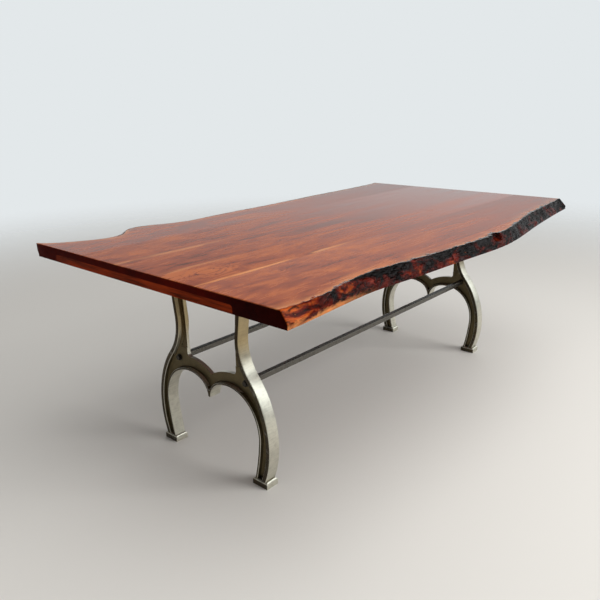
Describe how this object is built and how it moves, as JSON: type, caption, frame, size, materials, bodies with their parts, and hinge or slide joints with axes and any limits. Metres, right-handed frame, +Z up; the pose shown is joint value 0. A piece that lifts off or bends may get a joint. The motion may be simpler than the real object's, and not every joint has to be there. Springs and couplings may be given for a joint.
{
  "type": "live-edge slab table",
  "caption": "Long live-edge wooden slab table on two cast-iron end frames with arched legs, tied by square steel stretchers.",
  "frame": {"origin": "on the floor, under the middle of the slab's bounding box", "axes": "+X along the table, +Y across it towards the far live edge, +Z up"},
  "size_m": [2.048, 1.2111, 0.762],
  "materials": {
    "slab_wood": "satin clear varnish",
    "batten_wood": "satin clear varnish",
    "cast_iron": "burnished bare casting",
    "stretcher_steel": "blackened steel",
    "plug_steel": "turned",
    "bolt_steel": "black oxide",
    "screw_steel": "zinc plated"
  },
  "bodies": {
    "root": {"near_edge_board": "slab_wood", "near_inner_board": "slab_wood", "centre_board": "slab_wood", "far_inner_board": "slab_wood", "far_edge_board": "slab_wood", "left_end_batten": "batten_wood", "right_end_batten": "batten_wood", "left_end_frame": "cast_iron", "right_end_frame": "cast_iron", "front_stretcher": "stretcher_steel", "back_stretcher": "stretcher_steel", "front_left_plug": "plug_steel", "front_right_plug": "plug_steel", "back_left_plug": "plug_steel", "back_right_plug": "plug_steel", "stretcher_bolts": "bolt_steel", "stretcher_bolt_washers": "bolt_steel", "top_screws": "screw_steel", "top_screw_washers": "screw_steel", "batten_screws": "screw_steel"}
  },
  "joints": []
}
